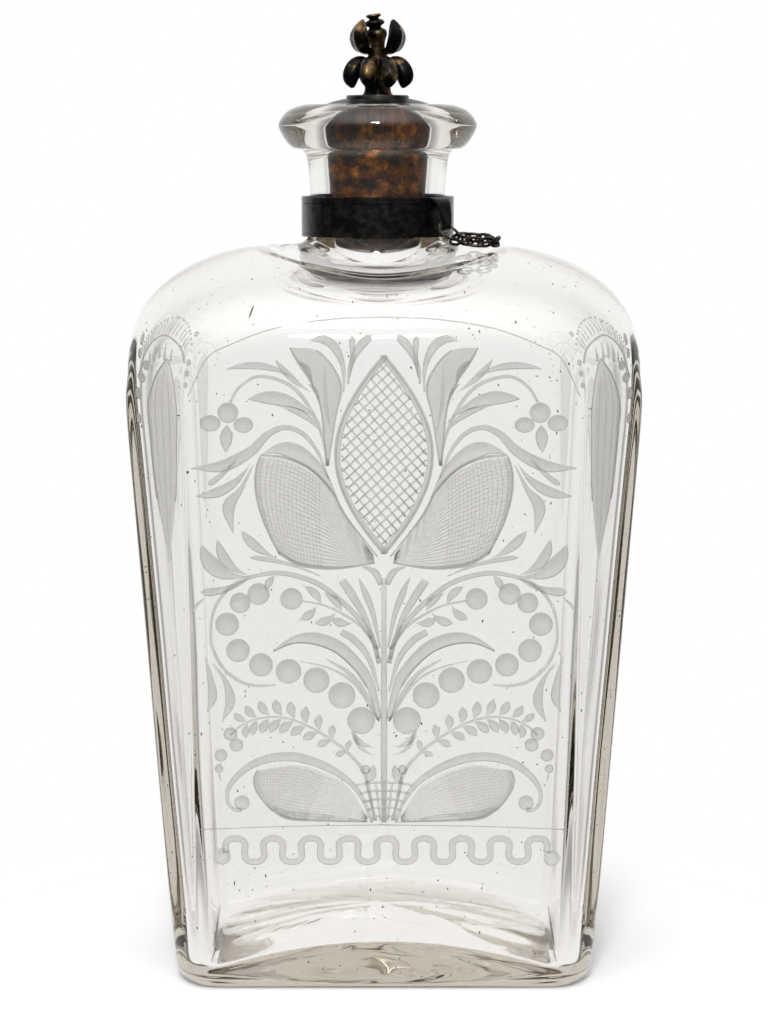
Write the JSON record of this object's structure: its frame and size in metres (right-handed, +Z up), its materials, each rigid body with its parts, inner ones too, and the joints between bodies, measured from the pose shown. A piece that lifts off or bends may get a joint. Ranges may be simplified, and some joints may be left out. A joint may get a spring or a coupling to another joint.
{
  "type": "stoppered glass decanter",
  "caption": "Panelled clear glass case bottle with engraved tulip ornament, cork stopper with a flower finial, and a loose neck collar carrying a short chain.",
  "frame": {"origin": "middle of the base, on the surface the bottle stands on", "axes": "+Z up along the height; -Y is the engraved front panel that the picture shows; +X is the picture's right"},
  "size_m": [0.1274, 0.0926, 0.2415],
  "materials": {
    "glass": "clear, slightly grey, wheel-engraved",
    "cork": "raw dark brown cork",
    "cap_metal": "dark grey patina",
    "finial_metal": "blackened, worn golden brown on high spots",
    "collar_metal": "blackened sheet",
    "chain_metal": "dark brown patina"
  },
  "bodies": {
    "bottle": {"glass_bottle": "glass"},
    "stopper": {"cork_stopper": "cork", "cap_disc": "cap_metal", "cap_boss": "cap_metal", "stopper_shank": "finial_metal", "shank_washer": "finial_metal", "finial_stem": "finial_metal", "lower_leaf_1": "finial_metal", "lower_leaf_2": "finial_metal", "lower_leaf_3": "finial_metal", "lower_leaf_4": "finial_metal", "lower_leaf_5": "finial_metal", "lower_leaf_6": "finial_metal", "lower_leaf_7": "finial_metal", "upper_leaf_1": "finial_metal", "upper_leaf_2": "finial_metal", "upper_leaf_3": "finial_metal", "upper_leaf_4": "finial_metal", "finial_bud": "finial_metal"},
    "collar": {"collar_band": "collar_metal", "collar_lug": "collar_metal"},
    "ring": {"lug_ring": "chain_metal"},
    "link_01": {"chain_link_01": "chain_metal"},
    "link_02": {"chain_link_02": "chain_metal"},
    "link_03": {"chain_link_03": "chain_metal"},
    "link_04": {"chain_link_04": "chain_metal"},
    "link_05": {"chain_link_05": "chain_metal"},
    "link_06": {"chain_link_06": "chain_metal"},
    "link_07": {"chain_link_07": "chain_metal"},
    "link_08": {"chain_link_08": "chain_metal"},
    "link_09": {"chain_link_09": "chain_metal"},
    "link_10": {"chain_link_10": "chain_metal"}
  },
  "joints": [
    {"name": "stopper_lift", "type": "slide", "parent": "bottle", "child": "stopper", "axis": [0, 0, 1], "range_m": [0, 0.06]},
    {"name": "collar_turn", "type": "hinge", "parent": "bottle", "child": "collar", "pos_m": [-0.0016, 0, 0.1906], "axis": [0, 0, 1], "continuous": true},
    {"name": "ring_swing", "type": "hinge", "parent": "collar", "child": "ring", "pos_m": [0.01445, -0.01445, 0.18893], "axis": [-0.6691, -0.7431, 0], "range_deg": [0, 70]},
    {"name": "link_01_turn", "type": "hinge", "parent": "ring", "child": "link_01", "pos_m": [0.0175, -0.01711, 0.18521], "axis": [0, 0, 1], "range_deg": [-20, 5]},
    {"name": "link_02_turn", "type": "hinge", "parent": "link_01", "child": "link_02", "pos_m": [0.01905, -0.01851, 0.1851], "axis": [0, 0, 1], "range_deg": [-20, 5]},
    {"name": "link_03_turn", "type": "hinge", "parent": "link_02", "child": "link_03", "pos_m": [0.02137, -0.01955, 0.18488], "axis": [0, 0, 1], "range_deg": [-20, 5]},
    {"name": "link_04_turn", "type": "hinge", "parent": "link_03", "child": "link_04", "pos_m": [0.02389, -0.01941, 0.18469], "axis": [0, 0, 1], "range_deg": [-20, 5]},
    {"name": "link_05_turn", "type": "hinge", "parent": "link_04", "child": "link_05", "pos_m": [0.02609, -0.01813, 0.18462], "axis": [0, 0, 1], "range_deg": [-20, 5]},
    {"name": "link_06_turn", "type": "hinge", "parent": "link_05", "child": "link_06", "pos_m": [0.0274, -0.01602, 0.1847], "axis": [0, 0, 1], "range_deg": [-20, 5]},
    {"name": "link_07_turn", "type": "hinge", "parent": "link_06", "child": "link_07", "pos_m": [0.02731, -0.0136, 0.18493], "axis": [0, 0, 1], "range_deg": [-20, 5]},
    {"name": "link_08_turn", "type": "hinge", "parent": "link_07", "child": "link_08", "pos_m": [0.02587, -0.01157, 0.18519], "axis": [0, 0, 1], "range_deg": [-20, 5]},
    {"name": "link_09_turn", "type": "hinge", "parent": "link_08", "child": "link_09", "pos_m": [0.0236, -0.01033, 0.1854], "axis": [0, 0, 1], "range_deg": [-20, 5]},
    {"name": "link_10_turn", "type": "hinge", "parent": "link_09", "child": "link_10", "pos_m": [0.02101, -0.00976, 0.18554], "axis": [0, 0, 1], "range_deg": [-20, 5]}
  ]
}
